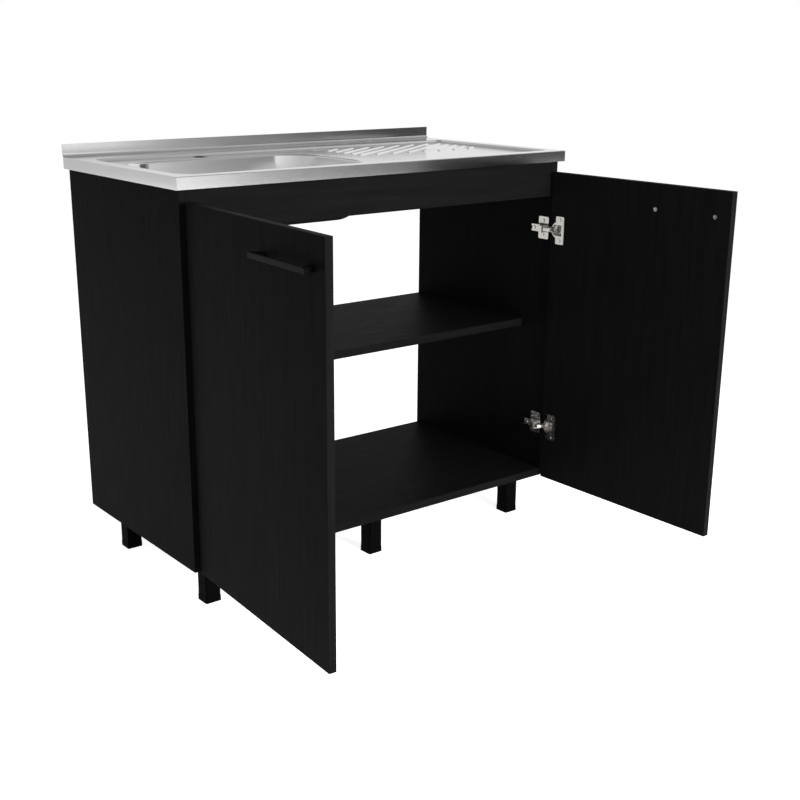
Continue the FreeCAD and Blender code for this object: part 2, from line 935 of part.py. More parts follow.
def rib_lines():
    """Ends of each diagonal rib, clipped to the rear part of the drainboard."""
    slope = math.tan(math.radians(rib_angle))
    x_low = board_left + rib_end_gap
    x_high = board_right - rib_end_gap
    y_high = board_rear - rib_end_gap
    y_low = y_high - rib_zone_depth
    lines = []
    first = x_low - math.floor((y_high - y_low) / slope / rib_pitch) * rib_pitch
    count = int((x_high - first) / rib_pitch) + 1
    for number in range(count):
        foot = first + number * rib_pitch
        start_x = max(foot, x_low)
        start_y = y_low + (start_x - foot) * slope
        end_x = min(foot + (y_high - y_low) / slope, x_high)
        end_y = y_low + (end_x - foot) * slope
        if math.hypot(end_x - start_x, end_y - start_y) > rib_shortest:
            lines.append((start_x, start_y, end_x, end_y))
    return lines


def rib_bars(grow):
    radius = rib_radius - grow
    axis_z = board_top + rib_rise - rib_radius
    bars = []
    for start_x, start_y, end_x, end_y in rib_lines():
        start = Vector(start_x, start_y, axis_z)
        end = Vector(end_x, end_y, axis_z)
        along = end - start
        bars.append(rod(start, along, radius, along.Length))
        bars.append(Part.makeSphere(radius, start))
        bars.append(Part.makeSphere(radius, end))
    return bars


def formed_block(grow):
    """The solid under the pressed top: its outside, or its underside when grown."""
    lower = rim_bottom - (cutting_margin if grow > 0.0 else 0.0)
    block = box(
        -half_top + grow, half_top - grow, -top_depth + grow, -grow, lower, rim_height - grow
    )
    deck = pocket(-deck_half, deck_half, deck_front, -ledge_depth, deck_top, deck_corner, grow)
    board = pocket(board_left, board_right, board_front, board_rear, board_top, board_corner, grow)
    ribs = group(rib_bars(grow))
    clip = box(board_left, board_right, board_front, board_rear, board_top - rib_pitch, rim_height)
    ribs = joined([bar.common(clip) for bar in ribs.Solids])
    block = block.cut(deck).cut(board).fuse(ribs)
    return block.cut(bowl_air(grow))


def sink_sheet():
    sheet_top = formed_block(0.0).cut(formed_block(sheet))
    bowl_shell = bowl_air(sheet).cut(bowl_air(0.0))
    below = box(-half_top, half_top, -top_depth, 0.0, bowl_floor - bowl_depth, deck_top)
    return sheet_top.fuse(bowl_shell.common(below))


def sink_top():
    splash = box(-half_top, half_top, -splash_thickness, 0.0, rim_bottom, rim_height + splash_rise)
    drain_start = Vector(drain_x, drain_y, bowl_floor - bowl_depth / 2.0)
    drain = rod(drain_start, UP, drain_diameter / 2.0, bowl_depth)
    tap_start = Vector(tap_x, tap_y, deck_top - tap_diameter / 2.0)
    tap = rod(tap_start, UP, tap_diameter / 2.0, tap_diameter)
    return without(sink_sheet().fuse(splash), [drain, tap]).removeSplitter()


save("sink_top", sink_top())


# ---- Battens that pack the folded rim ----

batten_bottom = rim_underside - batten_height
side_batten = box(
    half_body, half_top - sheet - fit_gap, body_front, body_rear, batten_bottom, rim_underside
)
save("right_rim_batten", side_batten)
save("left_rim_batten", mirrored(side_batten))
save(
    "front_rim_batten",
    box(
        -half_body,
        half_body,
        -(top_depth - sheet - fit_gap),
        body_front,
        batten_bottom,
        rim_underside,
    ),
)
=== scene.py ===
import json
import math

import bmesh
import bpy
from mathutils import Matrix, Vector

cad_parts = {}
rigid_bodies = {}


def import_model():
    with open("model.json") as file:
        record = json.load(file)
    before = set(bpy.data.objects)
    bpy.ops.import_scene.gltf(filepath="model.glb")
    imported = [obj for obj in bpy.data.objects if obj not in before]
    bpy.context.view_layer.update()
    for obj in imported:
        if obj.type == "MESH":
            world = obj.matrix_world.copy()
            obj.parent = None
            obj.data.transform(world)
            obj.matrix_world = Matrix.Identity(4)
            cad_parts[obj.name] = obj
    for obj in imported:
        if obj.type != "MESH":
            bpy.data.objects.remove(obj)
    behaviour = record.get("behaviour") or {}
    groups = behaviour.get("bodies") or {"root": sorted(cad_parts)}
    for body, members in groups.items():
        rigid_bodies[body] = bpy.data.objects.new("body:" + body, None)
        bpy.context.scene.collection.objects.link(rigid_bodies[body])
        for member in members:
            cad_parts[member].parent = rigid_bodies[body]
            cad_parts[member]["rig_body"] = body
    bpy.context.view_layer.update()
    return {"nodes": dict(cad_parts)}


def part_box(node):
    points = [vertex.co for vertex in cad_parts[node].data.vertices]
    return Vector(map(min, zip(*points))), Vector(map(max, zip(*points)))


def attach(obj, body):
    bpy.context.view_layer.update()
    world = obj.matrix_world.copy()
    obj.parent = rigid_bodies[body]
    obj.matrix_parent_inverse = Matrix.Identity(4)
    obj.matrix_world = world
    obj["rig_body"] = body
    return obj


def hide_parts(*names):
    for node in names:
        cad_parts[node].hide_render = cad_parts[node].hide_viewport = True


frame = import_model()
nodes = frame["nodes"]
scene = bpy.context.scene
scene.view_settings.view_transform = "Standard"

# ---------------------------------------------------------------- the room
# A plain pale floor under a pale sky, as in a small studio. The camera stands in
# front of the unit's left side and looks down a little. Shiny surfaces mirror a
# dimmer ceiling and left side, and a grey flag in front on the right.

CAMERA_PLACE = (-1.54791, -2.46847, 1.11482)
CAMERA_YAW = -37.552
CAMERA_PITCH = 16.857
CAMERA_ROLL = 0.191
FOCAL_PIXELS = 1203.48
PICTURE_PIXELS = 800.0
SENSOR_WIDTH = 36.0
IMAGE_CENTRE = (379.5, 410.0)
NEAREST_SEEN = 0.05

camera_data = bpy.data.cameras.new("studio_camera")
camera_data.sensor_width = SENSOR_WIDTH
camera_data.lens = FOCAL_PIXELS / PICTURE_PIXELS * SENSOR_WIDTH
camera_data.shift_x = (PICTURE_PIXELS / 2 - IMAGE_CENTRE[0]) / PICTURE_PIXELS
camera_data.shift_y = (IMAGE_CENTRE[1] - PICTURE_PIXELS / 2) / PICTURE_PIXELS
camera_data.clip_start = NEAREST_SEEN
camera = bpy.data.objects.new("studio_camera", camera_data)
scene.collection.objects.link(camera)
turn = Matrix.Rotation(math.radians(CAMERA_YAW), 4, "Z")
turn = turn @ Matrix.Rotation(math.radians(90 - CAMERA_PITCH), 4, "X")
turn = turn @ Matrix.Rotation(math.radians(CAMERA_ROLL), 4, "Z")
camera.matrix_world = Matrix.Translation(CAMERA_PLACE) @ turn
scene.camera = camera


def add_node(tree, kind, **settings):
    """A shader node; settings name its sockets or its own properties."""
    node = tree.nodes.new(kind)
    for key, value in settings.items():
        socket = node.inputs.get(key.replace("_", " "))
        if socket is None:
            setattr(node, key, value)
        elif isinstance(value, bpy.types.NodeSocket):
            tree.links.new(value, socket)
        else:
            socket.default_value = value
    return node


def combine(tree, operation, first, second):
    """Two values put together by a sum, a product or the larger of the two."""
    node = add_node(tree, "ShaderNodeMath", operation=operation)
    tree.links.new(first, node.inputs[0])
    tree.links.new(second, node.inputs[1])
    return node.outputs[0]


def remap(tree, value, low, high, start=0.0, end=1.0):
    """Spreads the values from start to end over those from low to high."""
    node = add_node(
        tree,
        "ShaderNodeMapRange",
        Value=value,
        From_Min=start,
        From_Max=end,
        To_Min=low,
        To_Max=high,
    )
    return node.outputs[0]


def background_rays(tree):
    """1 for rays that should see the plain background, 0 for those that light."""
    path = add_node(tree, "ShaderNodeLightPath")
    seen = combine(tree, "MAXIMUM", path.outputs["Is Camera Ray"], path.outputs["Is Glossy Ray"])
    return combine(tree, "MAXIMUM", seen, path.outputs["Is Transmission Ray"])


def mix_shaders(tree, mask, lit, seen):
    node = add_node(tree, "ShaderNodeMixShader")
    tree.links.new(mask, node.inputs[0])
    tree.links.new(lit.outputs[0], node.inputs[1])
    tree.links.new(seen.outputs[0], node.inputs[2])
    return node.outputs[0]


SKY_LIGHT = 0.2
BRIGHT_SIDE = (0.7, -0.3, 0.0)
DIM_FACING = -0.58
BRIGHT_FACING = 0.59
DIM_LEVEL = 0.58
CEILING_FROM = 0.42
CEILING_FULL = 0.62
CEILING_LEVEL = 0.42

world = bpy.data.worlds.new("studio_sky")
scene.world = world
world.use_nodes = True
sky = world.node_tree
sky.nodes.clear()
direction = add_node(sky, "ShaderNodeTexCoord").outputs["Generated"]
facing = add_node(sky, "ShaderNodeVectorMath", operation="DOT_PRODUCT")
sky.links.new(direction, facing.inputs[0])
facing.inputs[1].default_value = BRIGHT_SIDE
side_level = remap(sky, facing.outputs["Value"], DIM_LEVEL, 1.0, DIM_FACING, BRIGHT_FACING)
height_seen = add_node(sky, "ShaderNodeSeparateXYZ", Vector=direction).outputs["Z"]
ceiling_level = remap(sky, height_seen, 1.0, CEILING_LEVEL, CEILING_FROM, CEILING_FULL)
reflected = combine(sky, "MULTIPLY", side_level, ceiling_level)
camera_ray = add_node(sky, "ShaderNodeLightPath").outputs["Is Camera Ray"]
sky_level = combine(sky, "MAXIMUM", camera_ray, reflected)
lighting = add_node(sky, "ShaderNodeBackground", Strength=SKY_LIGHT)
backdrop = add_node(sky, "ShaderNodeBackground", Color=sky_level, Strength=1.0)
sky_shown = mix_shaders(sky, background_rays(sky), lighting, backdrop)
sky_out = add_node(sky, "ShaderNodeOutputWorld")
sky.links.new(sky_shown, sky_out.inputs["Surface"])


def add_stage(name, mesh, paint):
    """Links a finished bmesh as a surface of the room."""
    data = bpy.data.meshes.new(name)
    mesh.to_mesh(data)
    mesh.free()
    data.materials.append(paint)
    surface = bpy.data.objects.new(name, data)
    scene.collection.objects.link(surface)
    return surface


FLOOR_REACH = 5.0
FLOOR_GREY = (0.8, 0.8, 0.8, 1.0)
FLOOR_ROUGHNESS = 0.9
FLOOR_GLOW = 0.9

floor_paint = bpy.data.materials.new("floor_paint")
floor_paint.use_nodes = True
tree = floor_paint.node_tree
floor_shader = tree.nodes["Principled BSDF"]
floor_shader.inputs["Base Color"].default_value = FLOOR_GREY
floor_shader.inputs["Roughness"].default_value = FLOOR_ROUGHNESS
floor_shader.inputs["Specular IOR Level"].default_value = 0.0
glow = add_node(tree, "ShaderNodeEmission", Strength=FLOOR_GLOW)
glowing = add_node(tree, "ShaderNodeAddShader")
tree.links.new(floor_shader.outputs[0], glowing.inputs[0])
tree.links.new(glow.outputs[0], glowing.inputs[1])
floor_shown = mix_shaders(tree, background_rays(tree), floor_shader, glowing)
tree.links.new(floor_shown, tree.nodes["Material Output"].inputs["Surface"])

floor_mesh = bmesh.new()
bmesh.ops.create_grid(floor_mesh, x_segments=1, y_segments=1, size=FLOOR_REACH)
floor = add_stage("studio_floor", floor_mesh, floor_paint)

FLAG_LEFT = 1.45
FLAG_WIDTH = 6.0
FLAG_DISTANCE = -3.62
FLAG_HEIGHT = 3.0
FLAG_PALE = 0.42
FLAG_DARK = 0.055
FLAG_FADE = 1.6
HALF_METRE = 0.5

flag_cloth = bpy.data.materials.new("flag_cloth")
flag_cloth.use_nodes = True
cloth = flag_cloth.node_tree
cloth.nodes.clear()
place = add_node(cloth, "ShaderNodeTexCoord").outputs["Object"]
across = add_node(cloth, "ShaderNodeSeparateXYZ", Vector=place).outputs["X"]
flag_grey = remap(cloth, across, FLAG_PALE, FLAG_DARK, FLAG_LEFT, FLAG_LEFT + FLAG_FADE)
flag_glow = add_node(cloth, "ShaderNodeEmission", Color=flag_grey, Strength=1.0)
flag_out = add_node(cloth, "ShaderNodeOutputMaterial")
cloth.links.new(flag_glow.outputs[0], flag_out.inputs["Surface"])

flag_mesh = bmesh.new()
bmesh.ops.create_grid(flag_mesh, x_segments=1, y_segments=1, size=HALF_METRE)
bmesh.ops.scale(flag_mesh, vec=(FLAG_WIDTH, FLAG_HEIGHT, 1.0), verts=flag_mesh.verts)
upright = Matrix.Rotation(math.pi / 2, 3, "X")
bmesh.ops.rotate(flag_mesh, verts=flag_mesh.verts, cent=(0, 0, 0), matrix=upright)
flag_middle = (FLAG_LEFT + FLAG_WIDTH / 2, FLAG_DISTANCE, FLAG_HEIGHT / 2)
bmesh.ops.translate(flag_mesh, vec=flag_middle, verts=flag_mesh.verts)
flag = add_stage("studio_flag", flag_mesh, flag_cloth)
flag.visible_camera = False
flag.visible_diffuse = False
flag.visible_shadow = False


def add_softbox(name, place, target, width, height, power):
    """A rectangular lamp that looks at its target and isn't mirrored."""
    data = bpy.data.lights.new(name, "AREA")
    data.shape = "RECTANGLE"
    data.size = width
    data.size_y = height
    data.energy = power
    lamp = bpy.data.objects.new(name, data)
    scene.collection.objects.link(lamp)
    lamp.location = place
    aim = Vector(target) - Vector(place)
    lamp.rotation_euler = aim.to_track_quat("-Z", "Y").to_euler()
    lamp.visible_glossy = False


add_softbox(
    "left_softbox",
    place=(-2.6, -1.6, 2.2),
    target=(0, -0.3, 0.6),
    width=1.6,
    height=1.6,
    power=12,
)
add_softbox(
    "top_softbox",
    place=(0.2, -0.6, 3.0),
    target=(0, -0.3, 0.8),
    width=2.2,
    height=1.6,
    power=18,
)
add_softbox(
    "front_softbox",
    place=(0.35, -3.3, 1.2),
    target=(0.1, -0.4, 0.7),
    width=1.4,
    height=1.2,
    power=120,
)

# ------------------------------------------------------------ the boards
# The sides, base, shelf, apron, rear rail and doors are chipboard, 15 and 18 mm
# thick, faced with black melamine that is pressed with a fine wood grain. Each is
# sawn to size and edged with thin tape.


def add_material(name, base, roughness, metallic=0.0, specular=0.5):
    material = bpy.data.materials.new(name)
    material.use_nodes = True
    shader = material.node_tree.nodes["Principled BSDF"]
    shader.inputs["Base Color"].default_value = (*base, 1.0)
    shader.inputs["Roughness"].default_value = roughness
    shader.inputs["Metallic"].default_value = metallic
    shader.inputs["Specular IOR Level"].default_value = specular
    return material, material.node_tree, shader


def new_group(name, inputs, outputs):
    """An empty shader node group with named sockets, and what it has at each end."""
    group = bpy.data.node_groups.new(name, "ShaderNodeTree")
    for way, sockets in (("INPUT", inputs), ("OUTPUT", outputs)):
        for socket, kind in sockets.items():
            group.interface.new_socket(socket, in_out=way, socket_type="NodeSocket" + kind)
    given = group.nodes.new("NodeGroupInput").outputs
    result = group.nodes.new("NodeGroupOutput").inputs
    return group, given, result


NOISE_ROUGHNESS = 0.55


def grain_group():
    """Noise over a piece's own coordinates, with a stretch for each axis."""
    group, given, result = new_group(
        "surface_grain",
        {"Stretch": "Vector", "Detail": "Float", "Distortion": "Float"},
        {"Pattern": "Float"},
    )
    own_place = add_node(group, "ShaderNodeTexCoord").outputs["Object"]
    mapping = add_node(group, "ShaderNodeMapping", Vector=own_place, Scale=given["Stretch"])
    noise = add_node(
        group,
        "ShaderNodeTexNoise",
        Vector=mapping.outputs[0],
        Scale=1.0,
        Detail=given["Detail"],
        Roughness=NOISE_ROUGHNESS,
        Distortion=given["Distortion"],
    )
    group.links.new(noise.outputs[0], result["Pattern"])
    return group


def two_tone_group():
    """A colour that goes from Dark to Light as the pattern goes from Start to End."""
    group, given, result = new_group(
        "two_tone",
        {"Pattern": "Float", "Start": "Float", "End": "Float", "Dark": "Color", "Light": "Color"},
        {"Colour": "Color"},
    )
    mask = remap(group, given["Pattern"], 0.0, 1.0, given["Start"], given["End"])
    tones = add_node(group, "ShaderNodeMix", data_type="RGBA")
    group.links.new(mask, tones.inputs[0])
    group.links.new(given["Dark"], tones.inputs[6])
    group.links.new(given["Light"], tones.inputs[7])
    group.links.new(tones.outputs[2], result["Colour"])
    return group


GLOSS_START = 0.3
GLOSS_END = 0.7


def uneven_gloss_group():
    """A roughness that goes from Smooth to Rough with the pattern."""
    group, given, result = new_group(
        "uneven_gloss",
        {"Pattern": "Float", "Smooth": "Float", "Rough": "Float"},
        {"Roughness": "Float"},
    )
    level = remap(
        group, given["Pattern"], given["Smooth"], given["Rough"], GLOSS_START, GLOSS_END
    )
    group.links.new(level, result["Roughness"])
    return group


surface_grain = grain_group()
two_tone = two_tone_group()
uneven_gloss = uneven_gloss_group()


def add_grain(tree, stretch, detail, distortion=0.0):
    node = add_node(
        tree,
        "ShaderNodeGroup",
        node_tree=surface_grain,
        Stretch=stretch,
        Detail=detail,
        Distortion=distortion,
    )
    return node.outputs["Pattern"]


def set_tones(tree, shader, pattern, dark, light, start, end):
    node = add_node(
        tree,
        "ShaderNodeGroup",
        node_tree=two_tone,
        Pattern=pattern,
        Start=start,
        End=end,
        Dark=(*dark, 1.0),
        Light=(*light, 1.0),
    )
    tree.links.new(node.outputs["Colour"], shader.inputs["Base Color"])


def set_gloss(tree, shader, pattern, smooth, rough):
    node = add_node(
        tree,
        "ShaderNodeGroup",
        node_tree=uneven_gloss,
        Pattern=pattern,
        Smooth=smooth,
        Rough=rough,
    )
    tree.links.new(node.outputs["Roughness"], shader.inputs["Roughness"])


def set_relief(tree, shader, height, strength, distance):
    bump = add_node(
        tree, "ShaderNodeBump", Strength=strength, Distance=distance, Height=height
    )
    tree.links.new(bump.outputs[0], shader.inputs["Normal"])


BOARD_DARK = (0.0060, 0.0060, 0.0062)
BOARD_LIGHT = (0.0085, 0.0085, 0.0087)
PORES_ACROSS = 620.0
PORES_ALONG = 16.0
BANDS_ACROSS = PORES_ACROSS * 0.16
BANDS_ALONG = PORES_ALONG * 0.35
SPECKLE = (900.0, 900.0, 900.0)
SPECKLE_HEIGHT = 0.35


def board_material(name, along):
    """Black melamine with grain that runs along one axis: 0, 1 or 2."""
    material, tree, shader = add_material(name, BOARD_DARK, roughness=0.5, specular=0.014)
    fine = [PORES_ACROSS] * 3
    fine[along] = PORES_ALONG
    coarse = [BANDS_ACROSS] * 3
    coarse[along] = BANDS_ALONG
    pores = add_grain(tree, fine, detail=3.0)
    bands = add_grain(tree, coarse, detail=4.0, distortion=0.6)
    speckle = add_grain(tree, SPECKLE, detail=2.0)
    set_tones(tree, shader, bands, BOARD_DARK, BOARD_LIGHT, start=0.35, end=0.68)
    set_gloss(tree, shader, pores, smooth=0.42, rough=0.62)
    height = combine(tree, "ADD", pores, remap(tree, speckle, 0.0, SPECKLE_HEIGHT))
    set_relief(tree, shader, height, strength=0.15, distance=0.0002)
    return material


upright_board = board_material("melamine_upright", 2)
level_board = board_material("melamine_level", 0)

CREASE = math.radians(48)


def add_piece(name, mesh, material, body, replaced):
    """Links a finished bmesh as a piece that stands for the named CAD nodes."""
    data = bpy.data.meshes.new(name)
    mesh.to_mesh(data)
    mesh.free()
    data.materials.append(material)
    data.polygons.foreach_set("use_smooth", [True] * len(data.polygons))
    data.set_sharp_from_angle(angle=CREASE)
    piece = bpy.data.objects.new(name, data)
    scene.collection.objects.link(piece)
    even = piece.modifiers.new("even_shading", "WEIGHTED_NORMAL")
    even.keep_sharp = True
    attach(piece, body)
    if replaced:
        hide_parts(*replaced)
    return piece


WELD_DISTANCE = 0.000002
FLAT = math.radians(0.6)
SHARP = math.radians(30)
SHORTEST_EASED = 2.5


def eased_copy(name, material, width, segments=2):
    """A CAD node's merged copy with its sharp edges eased by width."""
    source = nodes[name]
    mesh = bmesh.new()
    mesh.from_mesh(source.data)
    bmesh.ops.remove_doubles(mesh, verts=mesh.verts, dist=WELD_DISTANCE)
    bmesh.ops.dissolve_limit(mesh, angle_limit=FLAT, verts=mesh.verts, edges=mesh.edges)
    shortest = width * SHORTEST_EASED
    sharp = [
        edge
        for edge in mesh.edges
        if edge.is_manifold and edge.calc_face_angle() > SHARP and edge.calc_length() > shortest
    ]
    bmesh.ops.bevel(
        mesh,
        geom=sharp,
        offset=width,
        offset_type="OFFSET",
        affect="EDGES",
        segments=segments,
        profile=0.5,
        material=-1,
        clamp_overlap=True,
    )
    return add_piece(name + "_made", mesh, material, source["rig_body"], [name])


BOARD_EDGE = 0.0006

for board in ("left_side_panel", "right_side_panel", "left_door", "right_door"):
    eased_copy(board, upright_board, BOARD_EDGE)
for board in ("bottom_panel", "shelf", "front_apron", "rear_rail"):
    eased_copy(board, level_board, BOARD_EDGE)

# ---------------------------------------------------------- the sink top
# One pressed sheet of stainless steel, brushed along its length, with a bowl,
# a ribbed drainboard and a folded rim. The back of the sheet is coloured near-black
# as painted shade for the dark under the bowl and inside the skirt. The sheet rests on the
# battens.

STEEL = (0.83, 0.83, 0.83)
STEEL_DULL = (0.78, 0.78, 0.785)
# The colour below is painted shade: near-black on the back of the sheet, where the bowl's
# underside and the skirt lie in shadow.
UNDERSIDE_SHADE = (0.006, 0.006, 0.0065)


def steel_material(name):
    material, tree, shader = add_material(name, STEEL, roughness=0.2, metallic=1.0)
    brushing = add_grain(tree, (24.0, 1500.0, 1500.0), detail=2.0)
    clouds = add_grain(tree, (5.0, 5.0, 5.0), detail=2.0)
    set_tones(tree, shader, clouds, STEEL_DULL, STEEL, start=0.35, end=0.65)
    set_gloss(tree, shader, brushing, smooth=0.15, rough=0.21)
    set_relief(tree, shader, brushing, strength=0.02, distance=0.0001)
    return material


# Painted shade: the back of the sheet is coloured near-black to stand in for the shadow under the
# bowl. The noise only varies its roughness and bumps.
def painted_shade_underside_material(name):
    material, tree, shader = add_material(name, UNDERSIDE_SHADE, roughness=0.8, specular=0.1)
    underside_mottle = add_grain(tree, (240.0, 240.0, 240.0), detail=4.0)
    set_gloss(tree, shader, underside_mottle, smooth=0.7, rough=0.9)
    set_relief(tree, shader, underside_mottle, strength=0.6, distance=0.0008)
    return material


def loop_edges(verts):
    return list({edge for vert in verts for edge in vert.link_edges})


def shrunk(span, inset):
    x0, x1, y0, y1 = span
    return (x0 + inset, x1 - inset, y0 + inset, y1 - inset)


def circle_span(x, y, radius):
    return (x - radius, x + radius, y - radius, y + radius)


def place_on_outline(mesh, verts, span, z, radius):
    """Moves tagged vertices to their places on a rounded rectangle."""
    x0, x1, y0, y1 = span
    turned = mesh.verts.layers.float["turned"]
    side_x = mesh.verts.layers.float["side_x"]
    side_y = mesh.verts.layers.float["side_y"]
    for vert in verts:
        centre_x = x1 - radius if vert[side_x] > 0 else x0 + radius
        centre_y = y1 - radius if vert[side_y] > 0 else y0 + radius
        angle = vert[turned]
        vert.co = (centre_x + radius * math.cos(angle), centre_y + radius * math.sin(angle), z)


CORNER_SEGMENTS = 12


def rounded_loop(mesh, span, z, radius):
    """A closed loop of edges: a circle whose four quarters are drawn apart."""
    turned, side_x, side_y = [
        mesh.verts.layers.float.get(tag) or mesh.verts.layers.float.new(tag)
        for tag in ("turned", "side_x", "side_y")
    ]
    around = 4 * (CORNER_SEGMENTS + 1)
    made = bmesh.ops.create_circle(mesh, segments=around, radius=1.0)["verts"]
    step = math.pi / 2 / (CORNER_SEGMENTS + 1)
    half_step = Matrix.Rotation(step / 2, 3, "Z")
    bmesh.ops.rotate(mesh, verts=made, cent=(0, 0, 0), matrix=half_step)
    for vert in made:
        angle = math.atan2(vert.co.y, vert.co.x)
        quarter = angle // (math.pi / 2) * (math.pi / 2)
        spread = (angle - quarter - step / 2) / (math.pi / 2 - step)
        vert[turned] = quarter + spread * math.pi / 2
        vert[side_x] = vert.co.x
        vert[side_y] = vert.co.y
    place_on_outline(mesh, made, span, z, radius)
    return loop_edges(made)


def rounded_profile(corners, radii, segments):
    """Profile points (inset, height) with each inner corner turned into an arc."""
    path = [corners[0]]
    for before, corner, after, radius in zip(corners, corners[1:], corners[2:], radii):
        back = (Vector(before) - Vector(corner)).normalized()
        onward = (Vector(after) - Vector(corner)).normalized()
        half = back.angle(onward) / 2
        centre = Vector(corner) + (back + onward).normalized() * radius / math.sin(half)
        first = Vector(corner) + back * radius / math.tan(half) - centre
        last = Vector(corner) + onward * radius / math.tan(half) - centre
        start = math.atan2(first.y, first.x)
        sweep = (math.atan2(last.y, last.x) - start + math.pi) % (2 * math.pi) - math.pi
        for step in range(segments + 1):
            angle = start + sweep * step / segments
            path.append((centre.x + radius * math.cos(angle), centre.y + radius * math.sin(angle)))
    path.append(corners[-1])
    return path


TIGHTEST_CORNER = 0.0012


def loft(mesh, span, corner, profile, start=None):
    """Rounded outlines drawn one inside another; gives the first and the last."""
    steps = list(profile)
    if start is None:
        inset, z = steps.pop(0)
        radius = max(corner - inset, TIGHTEST_CORNER)
        start = rounded_loop(mesh, shrunk(span, inset), z, radius)
    edges = start
    for inset, z in steps:
        drawn = bmesh.ops.extrude_edge_only(mesh, edges=edges)["geom"]
        verts = [part for part in drawn if isinstance(part, bmesh.types.BMVert)]
        edges = [part for part in drawn if isinstance(part, bmesh.types.BMEdge)]
        radius = max(corner - inset, TIGHTEST_CORNER)
        place_on_outline(mesh, verts, shrunk(span, inset), z, radius)
    return start, edges


TOP_LOW, TOP_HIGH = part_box("sink_top")
SHEET = 0.0008
SPLASH_THICKNESS = 0.0016
RIM_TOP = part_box("left_rim_batten")[1].z + SHEET
RIM_DROP = 0.024
RIM_FOLD = 0.0018
RIM_FLAT = 3 * RIM_FOLD
RIM_ARC_CUTS = 5

skirt_z = RIM_TOP - RIM_DROP
top_span = (TOP_LOW.x, TOP_HIGH.x, TOP_LOW.y, -SPLASH_THICKNESS)
skirt_profile = [(0.0, skirt_z), (0.0, RIM_TOP), (RIM_FLAT, RIM_TOP)]
skirt_steps = rounded_profile(skirt_profile, [RIM_FOLD], RIM_ARC_CUTS)
sheet_mesh = bmesh.new()
_, rim_loop = loft(sheet_mesh, top_span, TIGHTEST_CORNER, skirt_steps)

RIM_WIDTH = 0.029
LEDGE_DEPTH = 0.085
DECK_DROP = 0.005
DECK_SLOPE = 0.0022
DECK_CORNER = 0.012
DECK_FOLD = 0.0014
DECK_ARC_CUTS = 4

deck_z = RIM_TOP - DECK_DROP
deck_span = (TOP_LOW.x + RIM_WIDTH, TOP_HIGH.x - RIM_WIDTH, TOP_LOW.y + RIM_WIDTH, -LEDGE_DEPTH)
deck_profile = [
    (-2 * DECK_FOLD, RIM_TOP),
    (0.0, RIM_TOP),
    (DECK_SLOPE, deck_z),
    (DECK_SLOPE + 2 * DECK_FOLD, deck_z),
]
deck_steps = rounded_profile(deck_profile, [DECK_FOLD, DECK_FOLD], DECK_ARC_CUTS)
_, deck_loop = loft(sheet_mesh, deck_span, DECK_CORNER, deck_steps, rim_loop)

BOWL_SPAN = (-0.449, 0.005, -0.437, -0.150)
BOWL_CORNER = 0.075
BOWL_DEPTH = 0.120
BOWL_DRAFT = 0.014
BOWL_LIP = 0.0055
BOWL_FLOOR_RADIUS = 0.045
BOWL_ARC_CUTS = 12

bowl_z = deck_z - BOWL_DEPTH
bowl_profile = [
    (-2 * BOWL_LIP, deck_z),
    (0.0, deck_z),
    (BOWL_DRAFT, bowl_z),
    (BOWL_DRAFT + BOWL_FLOOR_RADIUS, bowl_z),
]
bowl_steps = rounded_profile(bowl_profile, [BOWL_LIP, BOWL_FLOOR_RADIUS], BOWL_ARC_CUTS)
mouth_loop, floor_loop = loft(sheet_mesh, BOWL_SPAN, BOWL_CORNER, bowl_steps)

SEAT_RADIUS = 0.056
SEAT_SLOPE = 0.005
SEAT_DEPTH = 0.004
DRAIN_RADIUS = 0.045
SMALL_ARC_CUTS = 3

seat_z = bowl_z - SEAT_DEPTH
drain_x = (BOWL_SPAN[0] + BOWL_SPAN[1]) / 2
drain_y = (BOWL_SPAN[2] + BOWL_SPAN[3]) / 2
seat_span = circle_span(drain_x, drain_y, SEAT_RADIUS)
seat_profile = [
    (-2 * DECK_FOLD, bowl_z),
    (0.0, bowl_z),
    (SEAT_SLOPE, seat_z),
    (SEAT_RADIUS - DRAIN_RADIUS, seat_z),
]
seat_steps = rounded_profile(seat_profile, [DECK_FOLD, DECK_FOLD], SMALL_ARC_CUTS)
loft(sheet_mesh, seat_span, SEAT_RADIUS, seat_steps, floor_loop)

BOARD_SPAN = (0.066, 0.457, -0.457, -0.099)
BOARD_DROP = 0.0015
BOARD_SLOPE = 0.0025
BOARD_CORNER = 0.020
BOARD_FOLD = 0.0009

board_z = deck_z - BOARD_DROP
board_profile = [
    (-2 * BOARD_FOLD, deck_z),
    (0.0, deck_z),
    (BOARD_SLOPE, board_z),
    (BOARD_SLOPE + 2 * BOARD_FOLD, board_z),
]
board_steps = rounded_profile(board_profile, [BOARD_FOLD, BOARD_FOLD], SMALL_ARC_CUTS)
edge_loop, board_loop = loft(sheet_mesh, BOARD_SPAN, BOARD_CORNER, board_steps)

TAP_PLACE = (-0.232, -0.112)
TAP_RADIUS = 0.0175

tap_span = circle_span(*TAP_PLACE, TAP_RADIUS)
tap_loop = rounded_loop(sheet_mesh, tap_span, deck_z, TAP_RADIUS)

RIB_GRID = 0.002
RIB_MARGIN = 0.0105
RIB_ANGLE = math.radians(34)
RIB_PITCH = 0.046
RIB_SHORTEST = RIB_PITCH / 2
RIB_HALF = 0.0045
RIB_RISE = 0.0025
RIB_ZONE = 0.158
RIB_END_GAP = 0.016


